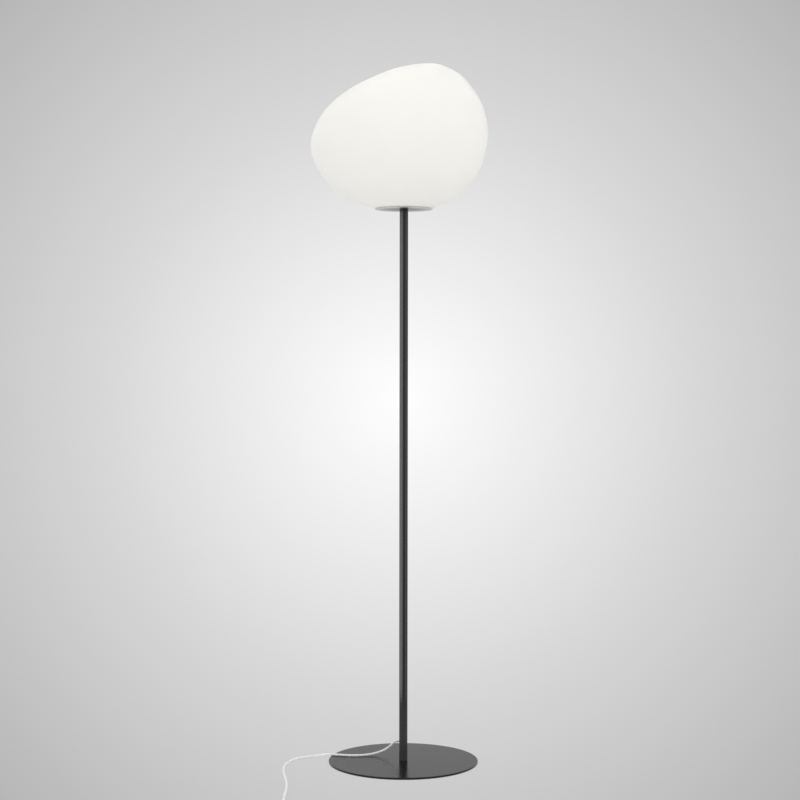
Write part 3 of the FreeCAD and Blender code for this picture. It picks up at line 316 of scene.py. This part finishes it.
def ribbed_boot(root):
    """Outline of a tapered boot from its tip, with grooves round it and its root."""
    outline = [(0.0, 0.0), (boot_tip - boot_round, 0.0), (boot_tip, boot_round)]
    for groove in range(grooves):
        start = groove_pitch + groove * groove_pitch
        for step, depth in ((0.0, 0.0), (groove_edge, groove_depth),
                            (groove_mouth - groove_edge, groove_depth), (groove_mouth, 0.0)):
            along = start + step
            taper = boot_tip + (boot_foot - boot_tip) * along / boot_length
            outline.append((taper - depth, along))
    outline += [(boot_foot, boot_length), (boot_foot, boot_length + root),
                (0.0, boot_length + root)]
    return lambda angle: outline


def boot(name, tip, quarter_turn, root, stands_for):
    """A boot on the cord, from its tip towards the case, with its root inside the case."""
    made = bmesh.new()
    facing = Matrix.Rotation(quarter_turn * math.pi / 2, 4, "Y")
    turned(made, ribbed_boot(root), Matrix.Translation(tip) @ facing)
    return piece_of(name, made, white_plastic, "stand", "white_plastic", stands_for)


boot_in = boot("boot_into_switch", (-0.165, -0.550, 0.0092), 1, 0.004, "switch_boots")
boot_out = boot("boot_out_of_switch", (-0.045, -0.550, 0.0092), -1, 0.004, "switch_boots")
boot_plug = boot("boot_on_plug", (0.109, -0.558, 0.007), 1, 0.0, "plug_boot")

spring_steel = finish("spring_steel", (0.50, 0.50, 0.51), 0.25, metallic=1.0)
drawn = grain(spring_steel, 90, detail=4, stretch=(1, 1, 8))
tint(spring_steel, drawn, (0.40, 0.41, 0.43), (0.58, 0.58, 0.57))
gloss(spring_steel, grain(spring_steel, 900, stretch=(1, 1, 0.1)), 0.18, 0.38)
relief(spring_steel, grain(spring_steel, 1600, detail=2, stretch=(1, 1, 0.1)), 0.00002)

spring_middle = (-0.105, -0.550)
spring_low, spring_high = 0.01205, 0.01685        # the wire's middle at both ends
spring_reach, wire_reach = 0.0056, 0.0004


def wound_wire(turns=3, steps=36, sides=10):
    """The return spring: round wire wound evenly from its low to its high end."""
    made = bmesh.new()
    rings = []
    for step in range(turns * steps + 1):
        angle = 2 * math.pi * step / steps
        outward = Vector((math.cos(angle), math.sin(angle), 0))
        height = spring_low + (spring_high - spring_low) * step / (turns * steps)
        middle = Vector((*spring_middle, height)) + spring_reach * outward
        ring = []
        for side in range(sides):
            around = 2 * math.pi * side / sides
            across = math.cos(around) * outward + math.sin(around) * Vector((0, 0, 1))
            ring.append(made.verts.new(middle + wire_reach * across))
        rings.append(ring)
    for ring, after in zip(rings, rings[1:]):
        for side in range(sides):
            near = (side + 1) % sides
            made.faces.new((ring[side], ring[near], after[near], after[side]))
    made.faces.new(rings[0])
    made.faces.new(rings[-1])
    return made


spring = piece_of("return_spring", wound_wire(), spring_steel, "stand", "steel", "switch_spring")
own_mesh(spring)


# ---------------------------------------------------------------- dish and what it carries
# Thin spun metal dish on the pole's head, brushed in rings, with a ring that centres the
# glass.  Painted shade darkens it near the pole; painted light and a painted highlight
# pale its edge.  Three sprung steel clips stand on it, and a soft gasket lies round it.
highlight_start, highlight_end = 0.0737, 0.0741        # radii between which the painted highlight on the edge comes in
# Painted shade and light: darker near the pole, lighter outwards between these radii.
lit_start, lit_end = 0.03, 0.073
brushed = finish("brushed_metal", (0.17, 0.17, 0.166), 0.34, metallic=1.0)
on_dish = node(brushed, "TexCoord").outputs["Object"]
rings = node(brushed, "TexWave", {"Vector": on_dish, "Scale": 900.0, "Distortion": 1.2,
                                  "Detail": 3.0, "Detail Scale": 2.0},
             wave_type="RINGS", rings_direction="Z").outputs["Fac"]
flat = node(brushed, "VectorMath", {0: on_dish, 1: (1, 1, 0)}, operation="MULTIPLY")
from_middle = node(brushed, "VectorMath", {0: flat.outputs["Vector"]},
                   operation="LENGTH").outputs["Value"]
edge_highlight = node(brushed, "MapRange", {"Value": from_middle, "From Min": highlight_start,
                                  "From Max": highlight_end}).outputs["Result"]
patches = node(brushed, "MapRange", {"Value": grain(brushed, 40, detail=4),
                                     "To Max": 0.06}).outputs["Result"]
painted_light_outward = node(brushed, "MapRange", {"Value": from_middle, "From Min": lit_start,
                                   "From Max": lit_end, "To Max": 0.55}).outputs["Result"]
clouds_and_painted_light = node(brushed, "Math", {0: patches, 1: painted_light_outward}, operation="ADD").outputs["Value"]
lightness = node(brushed, "Math", {0: edge_highlight, 1: clouds_and_painted_light}, operation="MAXIMUM").outputs["Value"]
tint(brushed, lightness, (0.075, 0.075, 0.073), (0.92, 0.92, 0.90), low=0.0, high=1.0)
gloss(brushed, rings, 0.28, 0.42)
relief(brushed, rings, 0.00002)
dress(brushed, "shade_dish")

dress(spring_steel, "neck_clips")

silicone = finish("silicone", (0.70, 0.70, 0.66), 0.55, Subsurface_Weight=0.3,
                  Subsurface_Scale=0.001)
tint(silicone, grain(silicone, 120, detail=4), (0.64, 0.64, 0.60), (0.74, 0.74, 0.70))
gloss(silicone, grain(silicone, 500), 0.48, 0.64)
relief(silicone, grain(silicone, 1300, detail=2), 0.00004)
dress(silicone, "dish_gasket", "switch_feet")


# ---------------------------------------------------------------- lampholder
# White screw-cap holder on a painted riser: moulded cap and body round a porcelain
# insert with a brass shell, contact and terminals, and two insulated leads.
riser_paint = finish("riser_paint", (0.80, 0.80, 0.77), 0.3, Coat_Weight=0.3, Coat_Roughness=0.15)
tint(riser_paint, grain(riser_paint, 70, detail=4), (0.76, 0.76, 0.73), (0.83, 0.83, 0.80))
gloss(riser_paint, grain(riser_paint, 200), 0.25, 0.38)
relief(riser_paint, grain(riser_paint, 900, detail=2), 0.00004)
dress(riser_paint, "riser_sleeve")

dress(white_plastic, "lampholder_cap", "lampholder_body")

porcelain = finish("porcelain", (0.84, 0.82, 0.78), 0.5)
tint(porcelain, grain(porcelain, 150, detail=5), (0.78, 0.76, 0.71), (0.87, 0.86, 0.83))
gloss(porcelain, grain(porcelain, 400, detail=4), 0.35, 0.65)
relief(porcelain, grain(porcelain, 900, detail=4), 0.0001)
dress(porcelain, "lampholder_insert")

brass = finish("brass", (0.72, 0.52, 0.24), 0.28, metallic=1.0)
tint(brass, grain(brass, 180, detail=5), (0.62, 0.43, 0.18), (0.80, 0.61, 0.31))
gloss(brass, grain(brass, 700), 0.2, 0.42)
relief(brass, grain(brass, 1800, detail=2), 0.00003)
dress(brass, "lampholder_screw_shell", "lampholder_contact", "lampholder_terminals", "bulb_tip",
      "plug_pins")

lead_skin = finish("lead_insulation", (0.42, 0.24, 0.12), 0.35)
tint(lead_skin, grain(lead_skin, 250), (0.36, 0.19, 0.09), (0.47, 0.28, 0.15))
gloss(lead_skin, grain(lead_skin, 900), 0.3, 0.45)
relief(lead_skin, grain(lead_skin, 2500, detail=2), 0.00003)
dress(lead_skin, "lead_wires", "switch_leads")


# ---------------------------------------------------------------- bulb
# Round opal lamp with a white collar and a thin metal screw cap, into which its thread is
# rolled.  The light-emitting board closes the collar under the globe.
dress(white_plastic, "bulb_collar")
dress(black_plastic, "bulb_insulator")

cap_metal = finish("bulb_cap_metal", (0.66, 0.66, 0.67), 0.3, metallic=1.0)
tint(cap_metal, grain(cap_metal, 160, detail=4), (0.56, 0.56, 0.58), (0.74, 0.74, 0.74))
gloss(cap_metal, grain(cap_metal, 900), 0.2, 0.42)
relief(cap_metal, grain(cap_metal, 1800, detail=2), 0.00003)
dress(cap_metal, "bulb_led_board")

cap_bottom, cap_top = 1.5617, 1.5823
cap_reach, cap_wall, cap_floor = 0.0132, 0.0004, 0.0005
chamfer_inner, chamfer_outer, chamfer_height = 0.0112, 0.0130, 0.0016
thread_bottom = cap_bottom + 0.0020
thread_pitch, thread_depth = 0.00362, 0.0009
fade_below, fade_above = 0.0012, 0.0022        # how far the thread takes to fade out


def rolled_cap(angle, steps=56):
    """Outline of the thin cap at an angle: a round thread that fades out at both ends."""
    outside = [(0.0, cap_bottom), (chamfer_inner, cap_bottom),
               (chamfer_outer, cap_bottom + chamfer_height)]
    for step in range(steps + 1):
        height = thread_bottom + (cap_top - thread_bottom) * step / steps
        fade = min(1, (height - thread_bottom) / fade_below, (cap_top - height) / fade_above)
        wave = 0.5 - 0.5 * math.cos(2 * math.pi * (height / thread_pitch) - angle)
        outside.append((cap_reach - thread_depth * fade * wave, height))
    inside = [(radius - cap_wall, height) for radius, height in outside[:1:-1]]
    inside += [(chamfer_inner - cap_wall, cap_bottom + cap_floor), (0.0, cap_bottom + cap_floor)]
    return outside + inside


cap_mesh = bmesh.new()
turned(cap_mesh, rolled_cap, Matrix(), steps=72)
piece_of("threaded_bulb_cap", cap_mesh, cap_metal, "bulb", "bulb_cap_metal", "bulb_cap")

bulb_opal = finish("bulb_opal", (0.86, 0.855, 0.83), 0.32, Subsurface_Weight=0.6,
                   Subsurface_Scale=0.004, Subsurface_Radius=(1.0, 0.98, 0.93),
                   Coat_Weight=0.2, Coat_Roughness=0.1,
                   Emission_Color=(1.0, 0.97, 0.90, 1), Emission_Strength=5.0)
tint(bulb_opal, grain(bulb_opal, 25, detail=4), (0.84, 0.835, 0.81), (0.88, 0.875, 0.85))
gloss(bulb_opal, grain(bulb_opal, 120), 0.28, 0.38)
relief(bulb_opal, grain(bulb_opal, 60, detail=2), 0.00005)
dress(bulb_opal, "bulb_globe")


# ---------------------------------------------------------------- glass shade
# Mouth-blown opal glass, 3.5 mm thick and acid-frosted to a satin white.  It stands on
# the gasket by its own weight, round the three clips.
opal = finish("opal_glass", (0.93, 0.925, 0.905), 0.5, Subsurface_Weight=0.7,
              Subsurface_Scale=0.02, Subsurface_Radius=(1.0, 0.97, 0.9), Specular_IOR_Level=0.25)
tint(opal, grain(opal, 9), (0.925, 0.917, 0.89), (0.94, 0.933, 0.91))
gloss(opal, grain(opal, 30, detail=4), 0.46, 0.55)
relief(opal, grain(opal, 11, detail=2), 0.0004, strength=0.35)
dress(opal, "glass_shade")


# ---------------------------------------------------------------- floor, backdrop and light
# Pale paper sweep that is lightest behind the lamp, under even soft light from all round.
# Its glow is laid out round the line from the viewer's place through the lamp's middle.
# Two soft lamps light only the paint.
eye = Vector((-0.00976, -4.5222, 1.0711))
pitch = math.radians(1.5506)
roll = -0.00112755
glow_axis = (0.0, math.cos(pitch), -math.sin(pitch))
glow_reach = 0.8                    # radians from the middle to the outermost tone
glow_middle, glow_outside = 1.0, 0.62
glow_between = ((0.214, 0.68), (0.4, 0.465), (0.5, 0.465))
self_lit = 0.88                     # how much of the tone shadows leave alone


def glow(made, direction):
    """Tone of the sweep in a direction from the eye: lightest in the middle."""
    turn = node(made, "VectorMath", {0: direction, 1: glow_axis}, operation="DOT_PRODUCT")
    angle = node(made, "Math", {0: turn.outputs["Value"]}, operation="ARCCOSINE")
    share = node(made, "Math", {0: angle.outputs["Value"], 1: glow_reach}, operation="DIVIDE")
    tones = node(made, "ValToRGB", {"Fac": share.outputs["Value"]})
    tones.color_ramp.elements[0].color = (glow_middle, glow_middle, glow_middle, 1)
    tones.color_ramp.elements[1].color = (glow_outside, glow_outside, glow_outside, 1)
    for place, grey in glow_between:
        tones.color_ramp.elements.new(place).color = (grey, grey, grey, 1)
    return tones.outputs["Color"]


def seen(made):
    """1 for what the eye sees directly, in metal or through glass, and 0 for lighting."""
    rays = node(made, "LightPath").outputs
    either = node(made, "Math", {0: rays["Is Camera Ray"], 1: rays["Is Glossy Ray"]},
                  operation="MAXIMUM")
    last = node(made, "Math", {0: either.outputs["Value"], 1: rays["Is Transmission Ray"]},
                operation="MAXIMUM")
    return last.outputs["Value"]


sweep = bpy.data.materials.new("sweep")
sweep.use_nodes = True
sweep.node_tree.nodes.clear()
position = node(sweep, "NewGeometry").outputs["Position"]
away = node(sweep, "VectorMath", {0: position, 1: eye}, operation="SUBTRACT").outputs["Vector"]
sight = node(sweep, "VectorMath", {0: away}, operation="NORMALIZE").outputs["Vector"]
sweep_tone = glow(sweep, sight)
paper = node(sweep, "BsdfDiffuse", {"Color": sweep_tone}).outputs["BSDF"]
shine = node(sweep, "Emission", {"Color": sweep_tone}).outputs["Emission"]
even = node(sweep, "MixShader", {0: self_lit, 1: paper, 2: shine}).outputs["Shader"]
bounce = node(sweep, "BsdfDiffuse", {"Color": (0.85, 0.85, 0.85, 1)}).outputs["BSDF"]
shown = node(sweep, "MixShader", {0: seen(sweep), 1: bounce, 2: even}).outputs["Shader"]
node(sweep, "OutputMaterial", {"Surface": shown})

floor_mesh = bpy.data.meshes.new("floor")
ground = bmesh.new()
bmesh.ops.create_circle(ground, cap_ends=True, segments=96, radius=60.0)
ground.to_mesh(floor_mesh)
ground.free()
floor = bpy.data.objects.new("floor", floor_mesh)
bpy.context.collection.objects.link(floor)
floor.data.materials.append(sweep)

studio = bpy.data.worlds.new("studio")
bpy.context.scene.world = studio
studio.use_nodes = True
studio.node_tree.nodes.clear()
outlook = node(studio, "TexCoord").outputs["Generated"]
backdrop = node(studio, "Background", {"Color": glow(studio, outlook)}).outputs["Background"]
plain = node(studio, "Background", {"Color": (1, 1, 1, 1), "Strength": 0.96}).outputs["Background"]
world = node(studio, "MixShader", {0: seen(studio), 1: plain, 2: backdrop}).outputs["Shader"]
node(studio, "OutputWorld", {"Surface": world})

painted = bpy.data.collections.new("painted")
for name in ("pole_tube", "base_plate"):
    painted.objects.link(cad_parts[name])


def softbox(name, place, target, width, height, power):
    """A soft rectangular lamp that faces a point, and shows only in the paint's gloss."""
    lamp = bpy.data.lights.new(name, "AREA")
    lamp.shape = "RECTANGLE"
    lamp.size = width
    lamp.size_y = height
    lamp.energy = power
    box = bpy.data.objects.new(name, lamp)
    box.location = place
    box.rotation_euler = (Vector(target) - Vector(place)).to_track_quat("-Z", "Y").to_euler()
    box.visible_camera = False
    box.visible_diffuse = False
    box.light_linking.receiver_collection = painted
    bpy.context.collection.objects.link(box)


pole_middle = (0, 0, 0.79)
softbox("left_light", (-0.229, -0.10, 0.79), pole_middle, width=0.455, height=1.34, power=4.82)
softbox("right_light", (0.232, -0.093, 0.79), pole_middle, width=0.232, height=1.34, power=0.77)

bpy.context.scene.view_settings.view_transform = "Standard"

camera = bpy.data.objects.new("camera", bpy.data.cameras.new("camera"))
camera.data.sensor_width = 36
camera.data.lens = 78.14
camera.data.clip_end = 200
camera.location = eye
camera.rotation_euler = (math.pi / 2 - pitch, roll, 0)
bpy.context.collection.objects.link(camera)
bpy.context.scene.camera = camera
